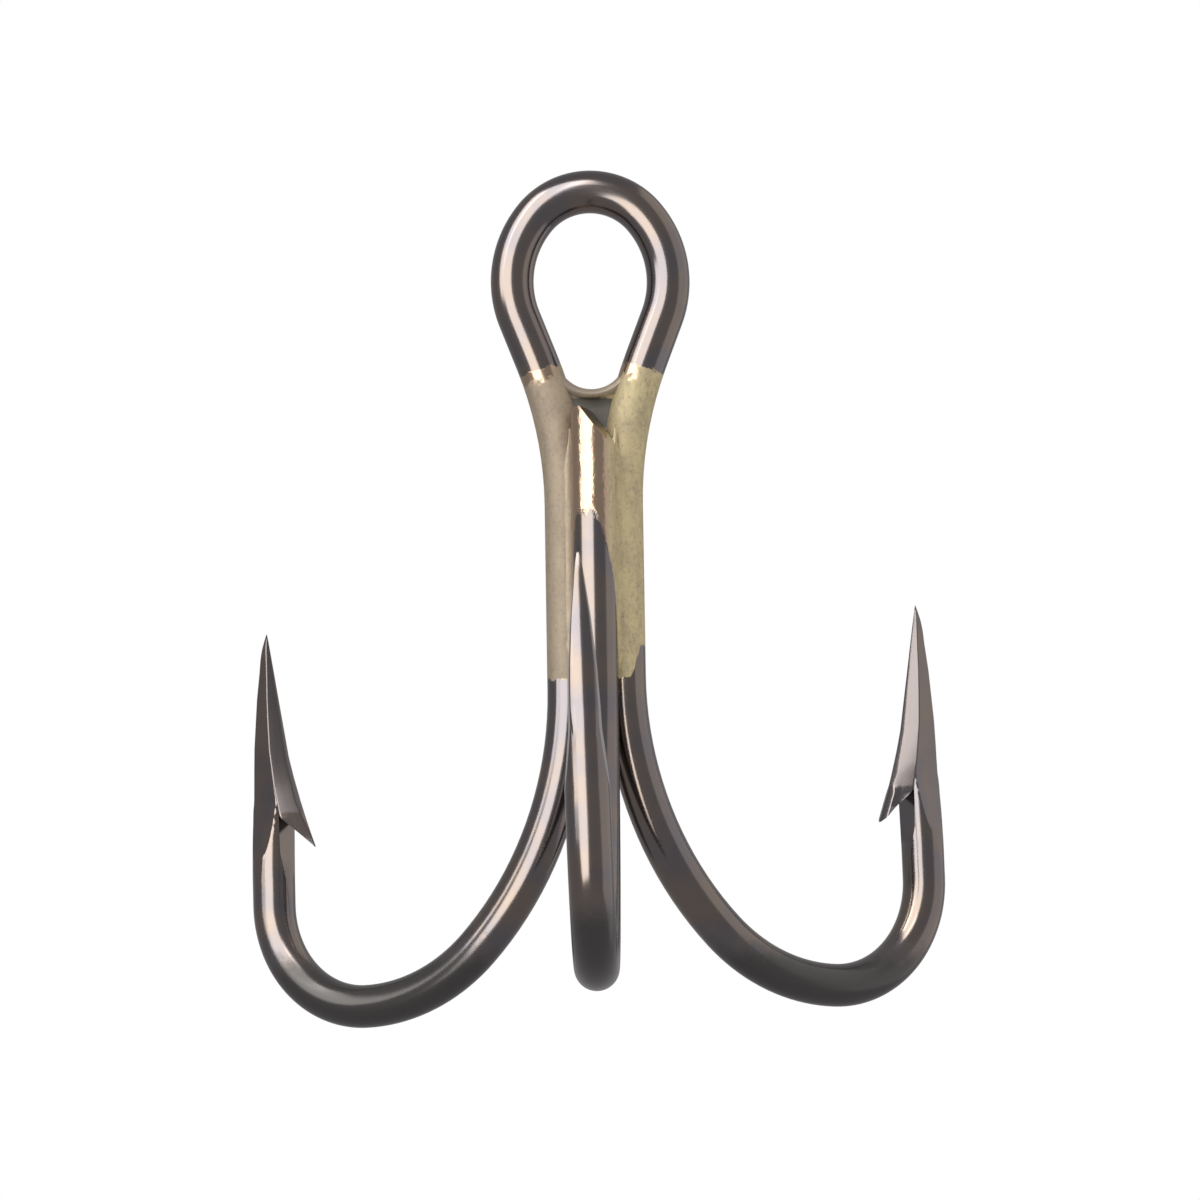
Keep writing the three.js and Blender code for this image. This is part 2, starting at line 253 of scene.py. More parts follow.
# %% Sizes of the point
POINT_LENGTH = 14.6
POINT_STEP = 0.2
HALF_WIDTHS = [(0, 0.02), (0.4, 0.09), (0.9, 0.2), (3.8, 0.56), (6.7, 0.8), (10, 0.95),
               (13.2, 1.25), (14.4, 1.3)]
EDGES = [(0, 0.02), (7.3, 1.2), (8.5, 1.5), (10, 1.93), (11, 2.29), (13, 3.05)]
RIDGES = [(0, 0), (5, 0.27), (7, 0.43), (9, 0.72), (10.7, 1.09), (13, 1.59)]
BACK_SHIFTS = [(0, -0.02), (1.5, -0.15), (9, -0.15), (11, -0.2)]
BARB_TIP = (2.88, 12.75)
BARB_ROOT = (1.05, 10.7)
BARB_HALF_WIDTH = 0.92
BARB_ENDS = 13
SIDE_LEANS = [(1.1, 7), (2.2, 15), (8, 15), (11, 19)]
EDGE_BEVEL = 2.6
FACET_SLOPE = 0.68
RIDGE_ROUND = 0.06
HALF = SIDES // 2


def between(table, at):
    for (low, first), (high, second) in zip(table, table[1:]):
        if at <= high:
            return first + (second - first) * max(0, at - low) / (high - low)
    return table[-1][1]


def smooth(low, high, at):
    share = min(1, max(0, (at - low) / (high - low)))
    return share * share * (3 - 2 * share)


print(f"the barb is {BARB_TIP[1] - BARB_ROOT[1]:.1f} mm long, {BARB_ROOT[1]} mm below the tip")

# %% [markdown]
# Below the barb the section is the round wire with its side ground flat. The flat gets
# narrower down the stem and runs out. The vertices sit close together near the front at first,
# and slide back to even spacing so that the skin of the wire isn't twisted.

# %% Half of the section below the barb
CROWDED_ROWS = [(0, 0), (13, 30), (41, 150), (HALF, 180)]
STEM_SHIFT = 0.08
SHIFT_ENDS = 11


def side_line(down, hook):
    half_width = between(HALF_WIDTHS, down)
    widest_at = math.sqrt(max(0, WIRE_RADIUS ** 2 - half_width ** 2))
    lean = between(SIDE_LEANS, down) * hook["side_lean"]
    return half_width, widest_at, math.tan(math.radians(lean))


def stem_half(down, hook):
    even = smooth(BARB_ENDS, POINT_LENGTH, down)
    half_width, widest_at, slope = side_line(down, hook)
    shift = STEM_SHIFT * (1 - smooth(SHIFT_ENDS, POINT_LENGTH, down))
    places = []
    for row in range(HALF + 1):
        angle = math.radians(between(CROWDED_ROWS, row) * (1 - even) + 180 * row / HALF * even)
        place = WIRE_RADIUS * Vector((math.cos(angle), math.sin(angle)))
        place.y = min(place.y, half_width + (place.x - widest_at) * slope)
        place.x += shift
        places.append(place)
    return places


rows = stem_half(BARB_ENDS, LEFT_HOOK)
print(f"just below the barb the stem is {2 * max(place.y for place in rows):.2f} mm wide")

# %% [markdown]
# From the tip to the barb the section has corners. The inner facet runs from the ridge towards the
# cutting edge, and a steep bevel closes it. At the barb the facet tilts and the bevel grows into
# the thick edge of the tooth. The side facet runs back from the ridge to the heel, where it
# meets the round back. The heel is where that line crosses the circle of the back.

# %% Corners of the ground section
BEVEL_SHARE = 0.3
BEVEL_GROWTH = 0.03
FACET_TILTS = (9, 10.2)
TOOTH_THICKENS = (10, 11.2)


def bevel_and_edge(down, hook, ridge, half_width):
    edge = Vector((between(EDGES, down), 0))
    in_plane = (ridge.y - FACET_SLOPE * (edge.x - ridge.x)) / (1 - FACET_SLOPE / EDGE_BEVEL)
    on_tooth = max(in_plane, hook["tooth_edge"] * smooth(*TOOTH_THICKENS, down))
    half = min(BEVEL_SHARE * half_width, BEVEL_GROWTH * down)
    half += (on_tooth - half) * smooth(*FACET_TILTS, down)
    return Vector((edge.x - half / EDGE_BEVEL, half)), edge


def heel_of_side(down, hook, ridge):
    half_width, widest_at, slope = side_line(down, hook)
    centre = max(0, between(BACK_SHIFTS, down) - half_width + WIRE_RADIUS)
    level = half_width - (min(ridge.x, widest_at) - centre) * slope
    square = 1 + slope ** 2
    reach = -(level * slope + math.sqrt(max(0, square * WIRE_RADIUS ** 2 - level ** 2))) / square
    return Vector((centre + reach, level + reach * slope)), centre


half_way = BARB_ROOT[1] / 2
middle_ridge = Vector((between(RIDGES, half_way), between(HALF_WIDTHS, half_way)))
middle_heel = heel_of_side(half_way, LEFT_HOOK, middle_ridge)[0]
print(f"half way up, a side facet is {(middle_ridge - middle_heel).length:.2f} mm wide")

# %% [markdown]
# Each corner is rounded off with a small curve, so that it catches the light, and vertices crowd
# there. Close above the barb the side passes over into the section of the stem.

# %% Half of the section, from the cutting edge to the back
FRONT_ROWS = 14
SIDE_ROWS = 27
BACK_ROWS = 20
LONGEST_ROUND = 0.45
ROUND_SHARE = 0.3
FOLD_PLACE = 0.6
FOLD_SPREAD = 0.12
SIDE_PASSES_OVER = (8.8, 10.9)


def round_off(before, corner, after, size, shares):
    back, on = before - corner, after - corner
    start = corner + back.normalized() * min(size, LONGEST_ROUND * back.length)
    end = corner + on.normalized() * min(size, LONGEST_ROUND * on.length)
    return [start * (1 - t) ** 2 + corner * 2 * t * (1 - t) + end * t ** 2 for t in shares]


def facet_fold(down, bevel, ridge, ends):
    fold = ridge.lerp(bevel, FOLD_PLACE)
    level = ridge.y - FACET_SLOPE * (fold.x - ridge.x)
    fold.y += (level - fold.y) * smooth(*FACET_TILTS, down)
    return [fold.lerp(end, FOLD_SPREAD) for end in ends]


def on_back(centre, angle):
    return Vector((centre + WIRE_RADIUS * math.cos(angle), WIRE_RADIUS * math.sin(angle)))


def ground_half(down, hook):
    half_width = side_line(down, hook)[0]
    ridge = Vector((between(RIDGES, down), min(half_width, BARB_HALF_WIDTH)))
    bevel, edge = bevel_and_edge(down, hook, ridge, half_width)
    heel, centre = heel_of_side(down, hook, ridge)
    size = min(RIDGE_ROUND, ROUND_SHARE * half_width)
    thirds = (0, 1 / 3, 2 / 3, 1)
    nose = round_off(Vector((bevel.x, -bevel.y)), edge, bevel, size, (0.5, 0.75, 1))
    first = round_off(edge, bevel, ridge, size, thirds)
    second = round_off(bevel, ridge, heel, size, (0, 0.25, 0.5, 0.75, 1))
    onwards = Vector((-heel.y, heel.x - centre)).normalized()
    third = round_off(ridge, heel, heel + onwards * 2 * size, size, thirds)
    front = nose + first + facet_fold(down, bevel, ridge, (first[-1], second[0])) + second

    shares = [(1 - math.cos(math.pi * i / (SIDE_ROWS + 1))) / 2 for i in range(1, SIDE_ROWS + 1)]
    side = [second[-1].lerp(third[0], share) for share in shares]
    turn = math.atan2(third[-1].y, third[-1].x - centre)
    back = [on_back(centre, turn + (math.pi - turn) * i / BACK_ROWS) for i in range(1, BACK_ROWS + 1)]
    below = stem_half(down, hook)[len(front):]
    passed_over = smooth(*SIDE_PASSES_OVER, down)
    return front + [place.lerp(under, passed_over) for place, under in zip(side + third + back, below)]


print("rows in half a section:", len(ground_half(half_way, LEFT_HOOK)), "and", len(rows))

# %% [markdown]
# The ring of the stem is followed towards the tip. Every vertex learns its row, counted from
# the side that faces the shank, and the rows carry over each time the ring is extruded. The tip
# leans back a little and is stretched, as a hand-guided wheel leaves it. The facets in front are
# marked as ground, because their finish is duller than that of drawn wire.

# %% Grind a point on the end of a wire
LEAN_REACH = 10
NOSE_REACH = 4


def number_rows(wire, turn):
    verts = {vert for edge in wire.ring for vert in edge.verts}
    local = {vert: turn.transposed() @ (vert.co - wire.place) for vert in verts}
    angles = {vert: math.atan2(place.y, place.x) for vert, place in local.items()}
    offset = min(angles.values(), key=abs)
    for vert, angle in angles.items():
        vert[wire.row] = round((angle - offset) / math.tau * SIDES) % SIDES


def grind_point(wire, hook):
    inward = -outwards(hook["azimuth"])
    up = wire.heading.normalized()
    across = up.cross(inward).normalized()
    tip = wire.place + up * STEM_LENGTH
    turn = Matrix((across.cross(up), across, up)).transposed()
    wire.run(STEM_LENGTH - POINT_LENGTH)
    number_rows(wire, turn)
    steps = round(POINT_LENGTH / POINT_STEP)
    for i in range(1, steps):
        down = POINT_LENGTH - i * POINT_STEP
        half = ground_half(down, hook) if down < BARB_ENDS else stem_half(down, hook)
        before = len(wire.bm.verts)
        wire.ring = edges_of(bmesh.ops.extrude_edge_only(wire.bm, edges=wire.ring)["geom"])
        wire.new_rings(before, POINT_STEP)
        lean = -hook["tip_lean"] * max(0, 1 - down / LEAN_REACH) ** 2
        rise = hook["nose"] * max(0, 1 - down / NOSE_REACH)
        for vert in wire.bm.verts[before:]:
            row = min(vert[wire.row], SIDES - vert[wire.row])
            side = half[row].y if vert[wire.row] <= HALF else -half[row].y
            vert.co = tip + turn @ Vector((half[row].x + lean, side, rise - down))
            vert[wire.ground] = float(row < FRONT_ROWS and down < BARB_ROOT[1])
    last = list({vert for edge in wire.ring for vert in edge.verts})
    end = turn @ Vector((-hook["tip_lean"], 0, hook["nose"]))
    bmesh.ops.pointmerge(wire.bm, verts=last, merge_co=tip + end)
    print(f"a point of {POINT_LENGTH} mm, its tip at {[round(x, 2) for x in tip + end]} mm")
    return Matrix.Translation(tip) @ turn.to_4x4()


# %% [markdown]
# A bmesh becomes an object in one place: doubles are merged, faces point outwards, and the mesh
# is scaled to metres. The places along the wire are copied from the vertices to the corners of the
# faces, where the coordinates of a pattern usually live, as in a UV map.

# %% Turn a bmesh into an object
MERGE_WITHIN = 0.0005


def copy_marks_to_corners(bm):
    marks = bm.verts.layers.float_vector.get("drawn")
    if marks is None:
        return
    corners = bm.loops.layers.float_vector.new("along_wire")
    for face in bm.faces:
        for loop in face.loops:
            loop[corners] = loop.vert[marks] * MM


def to_object(name, bm):
    bmesh.ops.remove_doubles(bm, verts=bm.verts, dist=MERGE_WITHIN)
    bmesh.ops.recalc_face_normals(bm, faces=bm.faces)
    copy_marks_to_corners(bm)
    bmesh.ops.scale(bm, vec=(MM, MM, MM), verts=bm.verts)
    for face in bm.faces:
        face.smooth = True
    mesh = bpy.data.meshes.new(name)
    bm.to_mesh(mesh)
    bm.free()
    piece = bpy.data.objects.new(name, mesh)
    bpy.context.scene.collection.objects.link(piece)
    return piece


print(f"vertices within {MERGE_WITHIN} mm of each other are merged")

# %% [markdown]
# A sharp tool is easiest as a second solid that is taken away by a Boolean modifier. The result is
# copied into the mesh at once, so nothing live is left on the piece. Every finished piece rides on
# the one body of the frame, takes the place of its node, and is measured.

# %% Cut a piece, and finish it
def cut_away(piece, tool):
    cutting = piece.modifiers.new("cut", "BOOLEAN")
    cutting.operation = "DIFFERENCE"
    cutting.solver = "EXACT"
    cutting.object = tool
    graph = bpy.context.evaluated_depsgraph_get()
    cut_mesh = bpy.data.meshes.new_from_object(piece.evaluated_get(graph))
    piece.modifiers.clear()
    piece.data = cut_mesh
    bpy.data.objects.remove(tool)


def finish_piece(piece, nodes, sharp_above):
    piece.data.name = piece.name
    piece.data.set_sharp_from_angle(angle=math.radians(sharp_above))
    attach(piece, "root")
    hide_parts(*nodes)
    shown = bmesh.new()
    shown.from_mesh(piece.data)
    loose = sum(not edge.is_manifold for edge in shown.edges)
    shown.free()
    low = [round(min(v.co[i] for v in piece.data.vertices) / MM, 2) for i in range(3)]
    high = [round(max(v.co[i] for v in piece.data.vertices) / MM, 2) for i in range(3)]
    faces = len(piece.data.polygons)
    print(f"{piece.name}: {faces} faces, {loose} open edges, from {low} to {high} mm")
    return piece


print("every piece rides on the body root")

# %% [markdown]
# The barb is raised with a chisel, which leaves a sharp tooth over a notch and a flat on the
# stem below it. One tool does that: the outline of the notch seen from the side, extruded
# across the wire. The outline follows the underside of the tooth, turns tightly at the root, and
# runs out along the stem.

# %% The chisel
CHISEL_END = 15.2
CHISEL_REACH = BARB_TIP[0] + 0.9
CHISEL_TOP = BARB_TIP[1] + 1.2
CHISEL_HALF_DEPTH = 2
TOOTH_HOLLOW = [(0.17, 0.4), (0.03, 0.13), (0, 0), (-0.06, 0.25)]
FLAT_DEPTH = 0.05
FLAT_ENDS = BARB_ENDS + 0.1


def chisel(place):
    root_out, root_down = BARB_ROOT
    outline = [(CHISEL_REACH, CHISEL_TOP), BARB_TIP]
    outline += [(root_out + out, root_down + down) for out, down in TOOTH_HOLLOW]
    outline.append((root_out - FLAT_DEPTH, FLAT_ENDS))
    outline += [(WIRE_RADIUS, CHISEL_END), (CHISEL_REACH, CHISEL_END)]
    bm = bmesh.new()
    face = bm.faces.new([bm.verts.new((out, -CHISEL_HALF_DEPTH, -down)) for out, down in outline])
    made = bmesh.ops.extrude_face_region(bm, geom=[face])["geom"]
    moved = [item for item in made if isinstance(item, bmesh.types.BMVert)]
    bmesh.ops.translate(bm, verts=moved, vec=(0, 2 * CHISEL_HALF_DEPTH, 0))
    bmesh.ops.transform(bm, matrix=place, verts=bm.verts)
    return to_object("chisel", bm)


print(f"the chisel cuts {WIRE_RADIUS - BARB_ROOT[0] + FLAT_DEPTH:.2f} mm into the stem")

# %% [markdown]
# The long wire starts at the top of the eye and grows both ways, first to the left tip and then
# to the right one, so the eye is one smooth bend with no seam at its top.

# %% The long wire with the eye and two hooks
long_wire = Wire(Vector((0, 0, EYE_TOP_HEIGHT)), Vector((-1, 0, 0)))
bend_eye_side(long_wire, -1)
bend_hook(long_wire, LEFT_HOOK)
left_tip = grind_point(long_wire, LEFT_HOOK)
long_wire.start(Vector((0, 0, EYE_TOP_HEIGHT)), Vector((1, 0, 0)), -1)
bend_eye_side(long_wire, 1)
bend_hook(long_wire, RIGHT_HOOK)
right_tip = grind_point(long_wire, RIGHT_HOOK)

RIDGE_ANGLE = 32
eye_and_two_hooks = to_object("eye_and_two_hooks", long_wire.bm)
cut_away(eye_and_two_hooks, chisel(left_tip))
cut_away(eye_and_two_hooks, chisel(right_tip))
finish_piece(eye_and_two_hooks, ["double_hook_wire"], RIDGE_ANGLE)

# %% [markdown]
# The third shank ends just under the eye. It was sheared off: a flat top with a slanted face
# that falls to the front and to one side. A plane cuts the mesh, and the hole is closed.

# %% The short wire with the third hook
SHEAR_HEIGHT = -8.35
TOP_UNDER_FRAME = 0.25
SHEAR_FRONT = 15
SHEAR_SIDE = 52
CUT_TOLERANCE = 0.0001
third_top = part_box("single_hook_wire")[1].z / MM - TOP_UNDER_FRAME


def slice_off(bm, place, outward):
    everything = list(bm.verts) + list(bm.edges) + list(bm.faces)
    made = bmesh.ops.bisect_plane(bm, geom=everything, dist=CUT_TOLERANCE, plane_co=place,
                                  plane_no=outward, clear_outer=True)["geom_cut"]
    rim = [item for item in made if isinstance(item, bmesh.types.BMEdge)]
    bmesh.ops.contextual_create(bm, geom=rim)


short_wire = Wire(Vector((0, -THIRD_SHANK_OFFSET, third_top)), Vector((0, 0, -1)))
bmesh.ops.contextual_create(short_wire.bm, geom=list(short_wire.first_ring))
bend_hook(short_wire, THIRD_HOOK)
third_tip = grind_point(short_wire, THIRD_HOOK)
to_front = Matrix.Rotation(math.radians(SHEAR_FRONT), 3, "X")
to_side = Matrix.Rotation(math.radians(SHEAR_SIDE), 3, "Y")
shear_place = Vector((0, -THIRD_SHANK_OFFSET, SHEAR_HEIGHT))
slice_off(short_wire.bm, shear_place, to_side @ to_front @ Vector((0, 0, 1)))

third_hook = to_object("third_hook", short_wire.bm)
cut_away(third_hook, chisel(third_tip))
finish_piece(third_hook, ["single_hook_wire"], RIDGE_ANGLE)

# %% [markdown]
# ## Brass
#
# Molten brass is drawn into the grooves and stands there with a hollow face, a meniscus, that
# leaves both wires smoothly. A circle that touches both wires from outside is that face. The
# section of a run is that arc, closed by a few corners that lie hidden inside the wires.

# %% The section of a run of brass
MENISCUS_STEPS = 14
GROOVE_DIP = 0.7
BACK_DIP = 0.55
DEEP = 0.4
BESIDE = 0.3
third_axis = Vector((0, -THIRD_SHANK_OFFSET, 0))
left_axis = Vector((-SHANK_HALF_SPACING, 0, 0))
right_axis = Vector((SHANK_HALF_SPACING, 0, 0))


def meniscus(first, second, dip):
    half_gap = (second - first).length / 2
    grown = (WIRE_RADIUS ** 2 - half_gap ** 2 - dip ** 2) / (2 * (dip - WIRE_RADIUS))
    along = (second - first).normalized()
    outward = Vector((along.y, -along.x, 0))
    centre = (first + second) / 2 + outward * (dip + grown)
    start = first + (centre - first).normalized() * WIRE_RADIUS
    end = second + (centre - second).normalized() * WIRE_RADIUS
    sweep = (start - centre).to_2d().angle_signed((end - centre).to_2d())
    print(f"hollow face of {grown:.2f} mm radius over {math.degrees(abs(sweep)):.0f} degrees")
    return centre, start, -sweep


def run_section(first, second, dip, hidden):
    centre, start, sweep = meniscus(first, second, dip)
    turns = [Matrix.Rotation(sweep * i / MENISCUS_STEPS, 3, "Z") for i in range(MENISCUS_STEPS + 1)]
    return [centre + turn @ (start - centre) for turn in turns] + hidden


left_section = run_section(left_axis, third_axis, GROOVE_DIP, [
    third_axis + Vector((-DEEP, BESIDE, 0)),
    left_axis + Vector((BESIDE, -DEEP, 0)),
])
right_section = run_section(third_axis, right_axis, GROOVE_DIP, [
    right_axis + Vector((-BESIDE, -DEEP, 0)),
    third_axis + Vector((DEEP, BESIDE, 0)),
])
core_section = run_section(right_axis, left_axis, BACK_DIP, [
    left_axis + Vector((DEEP, 0, 0)),
    third_axis + Vector((0, DEEP, 0)),
    right_axis + Vector((-DEEP, 0, 0)),
])

# %% [markdown]
# Each section is extruded down the joint in small steps. Near its ends a run draws in, because
# there was less brass to fill the groove, and a gentle noise keeps its face from being ruled.

# %% Brass in the two grooves and between the shanks
RUN_STEPS = 60
END_TAPER = 2.6
GROOVE_TAPER = 0.93
CORE_TAPER = 0.5
RUN_WAVE = 0.05
WAVES_ACROSS = 1.3
WAVES_ALONG = 0.55
BRASS_ANGLE = 50


def draw_in_and_wave(bm, heart, taper):
    for vert in bm.verts:
        end = min(JOINT_TOP - vert.co.z, vert.co.z - JOINT_BOTTOM)
        middle = Vector((heart.x, heart.y, vert.co.z))
        vert.co = vert.co.lerp(middle, taper * (1 - smooth(0, END_TAPER, end)))
        x, y, z = vert.co
        wave = noise.noise(Vector((x * WAVES_ACROSS, y * WAVES_ACROSS, z * WAVES_ALONG)))
        vert.co += (vert.co - middle).normalized() * wave * RUN_WAVE


def braze_run(name, section, node, taper):
    bm = bmesh.new()
    loop = [bm.verts.new(place) for place in section]
    ring = list(bm.faces.new(loop).edges)
    bmesh.ops.translate(bm, verts=loop, vec=(0, 0, JOINT_TOP))
    heart = sum((vert.co for vert in loop), Vector()) / len(loop)
    step = (JOINT_TOP - JOINT_BOTTOM) / RUN_STEPS
    for _ in range(RUN_STEPS):
        made = bmesh.ops.extrude_edge_only(bm, edges=ring)["geom"]
        ring = edges_of(made)
        moved = [item for item in made if isinstance(item, bmesh.types.BMVert)]
        bmesh.ops.translate(bm, verts=moved, vec=(0, 0, -step))
    bmesh.ops.contextual_create(bm, geom=ring)
    draw_in_and_wave(bm, heart, taper)
    return finish_piece(to_object(name, bm), [node], BRASS_ANGLE)


left_groove_braze = braze_run("left_groove_braze", left_section, "braze_left_run", GROOVE_TAPER)
right_groove_braze = braze_run("right_groove_braze", right_section, "braze_right_run", GROOVE_TAPER)
core_braze = braze_run("core_braze", core_section, "braze_core", CORE_TAPER)

# %% [markdown]
# Brass also bridges the two legs of the eye and makes the round bottom of the eye's opening.
# It is a thick smooth lip with a thinner web below it. The lip and web are one profile, half of
# which is given as places below the opening and shares of the thickness. It is spun about the
# middle of the opening, and planes inside the legs and above the core end it.

# %% The saddle at the bottom of the eye
web_low, web_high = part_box("braze_eye_web")
WEB_TOP = -6.35
WEB_RADIUS = 2.0
LIP_HALF = (web_high.y / MM - web_low.y / MM) / 2
LIP_PROFILE = [(0, 0), (0.03, 0.25), (0.1, 0.6), (0.24, 0.9), (0.4, 1), (0.55, 0.9),
               (0.64, 0.62), (0.75, 0.45), (1.3, 0.4), (2.6, 0.5)]
SADDLE_STEPS = 48
INSIDE_LEG = Vector((2.45, 0, -6.4))
LEG_FACING = Vector((0.95, 0, 0.3)).normalized()
WEB_GAP = 0.05


def saddle():
    centre = Vector((0, 0, WEB_TOP + WEB_RADIUS))
    front = [(WEB_RADIUS + out, -share * LIP_HALF, 0) for out, share in reversed(LIP_PROFILE)]
    rear = [(WEB_RADIUS + out, share * LIP_HALF, 0) for out, share in LIP_PROFILE[1:]]
    bm = bmesh.new()
    start = bm.faces.new([bm.verts.new(centre + Vector(place)) for place in front + rear])
    bmesh.ops.spin(bm, geom=[start], cent=centre, axis=(0, 1, 0), angle=math.pi, steps=SADDLE_STEPS,
                   use_merge=False)
    bmesh.ops.recalc_face_normals(bm, faces=bm.faces)
    for side in (-1, 1):
        mirrored = Matrix.Diagonal((side, 1, 1))
        slice_off(bm, mirrored @ INSIDE_LEG, mirrored @ LEG_FACING)
    slice_off(bm, Vector((0, 0, JOINT_TOP + WEB_GAP)), Vector((0, 0, -1)))
    return finish_piece(to_object("eye_saddle_braze", bm), ["braze_eye_web"], BRASS_ANGLE)


eye_saddle_braze = saddle()

# %% [markdown]
# ## Finishes
#
# A finish is a set of shader nodes. Writing sums as sums keeps them readable, so one small
# class wraps the output of a node: adding or multiplying two of them adds a Math node. Every
# other node comes from one method that takes its type, its settings and its inputs.

# %% Shader sums
class Value:
    def __init__(self, finish, socket):
        self.finish, self.socket = finish, socket

    def sum(self, operation, first, second):
        return self.finish.node("ShaderNodeMath", {"operation": operation}, {0: first, 1: second})

    def __add__(self, other):
        return self.sum("ADD", self, other)

    def __radd__(self, other):
        return self.sum("ADD", other, self)

    def __sub__(self, other):
        return self.sum("SUBTRACT", self, other)

    def __rsub__(self, other):
        return self.sum("SUBTRACT", other, self)

    def __mul__(self, other):
        return self.sum("MULTIPLY", self, other)

    def __rmul__(self, other):
        return self.sum("MULTIPLY", other, self)


print("a Value can be added, subtracted and multiplied")

# %% [markdown]
# A finish owns the nodes of one material, or of the world. It has a method for each kind of node
# that is used often: a smooth ramp, a mix of two colours, a noise, and a bump.

# %% A finish grows node by node
class Finish:
    def __init__(self, owner):
        self.owner = owner
        self.owner.use_nodes = True
        self.tree = self.owner.node_tree
        self.tree.nodes.clear()

    def node(self, kind, settings=None, inputs=None, output=0):
        made = self.tree.nodes.new(kind)
        for key, value in (settings or {}).items():
            setattr(made, key, value)
        for key, value in (inputs or {}).items():
            if isinstance(value, Value):
                self.tree.links.new(value.socket, made.inputs[key])
            else:
                made.inputs[key].default_value = value
        return Value(self, made.outputs[output] if len(made.outputs) else None)

    def ramp(self, value, low, high):
        inputs = {"Value": value, "From Min": low, "From Max": high}
        return self.node("ShaderNodeMapRange", {"interpolation_type": "SMOOTHSTEP"}, inputs)

    def mix(self, share, first, second):
        return self.node("ShaderNodeMix", {"data_type": "RGBA"}, {0: share, 6: first, 7: second}, 2)

    def noise(self, place, scale, detail, roughness=0.5):
        inputs = {"Vector": place, "Scale": scale, "Detail": detail, "Roughness": roughness}
        return self.node("ShaderNodeTexNoise", None, inputs)

    def stretched(self, place, amounts):
        return self.node("ShaderNodeVectorMath", {"operation": "MULTIPLY"}, {0: place, 1: amounts})

    def in_millimetres(self, place):
        return self.node("ShaderNodeVectorMath", {"operation": "SCALE"}, {0: place, "Scale": 1 / MM})

    def place(self):
        return self.in_millimetres(self.node("ShaderNodeTexCoord", None, None, "Object"))

    def split(self, place):
        made = self.node("ShaderNodeSeparateXYZ", None, {0: place}).socket.node
        return [Value(self, output) for output in made.outputs]

    def bump(self, height, strength, distance):
        inputs = {"Strength": strength, "Distance": distance * MM, "Height": height}
        return self.node("ShaderNodeBump", None, inputs)

    def surface(self, inputs):
        shader = self.node("ShaderNodeBsdfPrincipled", None, inputs)
        self.node("ShaderNodeOutputMaterial", None, {"Surface": shader})
        print(f"{self.owner.name}: {len(self.tree.nodes)} nodes")
        return self.owner


def rgb(red, green, blue):
    return (red, green, blue, 1)


print("a finish has", [name for name in vars(Finish) if not name.startswith("_")])

# %% [markdown]
# Over the joint the flux and brass leave a skin of gold. Where it is thick it is dull and mottled
# and no longer looks like metal: tan on the left shank and olive on the right one, with darker
# clouds and grains. Several noises of different scale, mixed, give that.

# %% The dull gold of the joint
SKIN_TAN = rgb(0.345, 0.28, 0.195)
SKIN_OLIVE = rgb(0.49, 0.415, 0.225)
SKIN_DARK = rgb(0.20, 0.155, 0.115)
OLIVE_FROM = -0.7
OLIVE_TO = 1.3


def mottled_gold(finish, place):
    wander = finish.noise(place, 1.3, 4, 0.6) - 0.5
    right = finish.ramp(finish.split(place)[0] + wander, OLIVE_FROM, OLIVE_TO)
    gold = finish.mix(right, SKIN_TAN, SKIN_OLIVE)
    clouds = finish.ramp(finish.noise(finish.stretched(place, (1, 1, 0.45)), 1.4, 5, 0.7), 0.35, 0.75)
    grains = finish.ramp(finish.noise(place, 4.0, 4, 0.75), 0.48, 0.68)
    return finish.mix(clouds * 0.5 + grains * 0.45, gold, SKIN_DARK)


print(f"tan passes into olive from x = {OLIVE_FROM} to {OLIVE_TO} mm")

# %% [markdown]
# Where the skin is thin it is a glossy flush: on the third shank, and in a narrow band round the
# neck of the eye. The edges of the skin are ragged and sit at a different height on each shank, so
# each wire has its own function. It gives two masks: where there is skin, and where it is dull.

# %% Where the skin lies
PAIR_REACH = 4.6
PAIR_TOP = -4.35
PAIR_TOP_FALL = 0.3
PAIR_BOTTOM = -23.45
OUTER_RISE = 1.9
SKIN_EDGE = 0.12
NECK_BAND = 0.8
NECK_BAND_EDGE = 0.15
NECK_SPACING = 2.35
THIRD_BOTTOM = -14.3
THIRD_RIGHT_REACH = 3.4
THIRD_BACK_REACH = 7
THIRD_EDGE = 0.5


def skin_on_pair(finish, place, ragged):
    x, _, z = finish.split(place)
    outward = finish.node("ShaderNodeMath", {"operation": "ABSOLUTE"}, {0: x})
    on_shank = finish.ramp(PAIR_REACH - outward, 0.0, 0.2)
    below_top = PAIR_TOP - PAIR_TOP_FALL * outward + 0.9 * ragged - z
    bottom = PAIR_BOTTOM + OUTER_RISE * finish.ramp(x, 1.9, 2.7) + 0.8 * ragged
    skin = finish.ramp(below_top, 0.0, SKIN_EDGE) * finish.ramp(z - bottom, 0.0, SKIN_EDGE) * on_shank
    band_end = below_top + 0.9 * ragged - NECK_BAND
    below_band = finish.ramp(band_end, -NECK_BAND_EDGE, NECK_BAND_EDGE)
    from_leg = x + NECK_SPACING - 2 * NECK_SPACING * finish.ramp(x, -0.5, 0.5)
    beside_band = finish.ramp(from_leg + 0.7 * ragged, 0.1, 0.4)
    off_band = finish.node("ShaderNodeMath", {"operation": "MAXIMUM"}, {0: below_band, 1: beside_band})
    return skin, skin * off_band


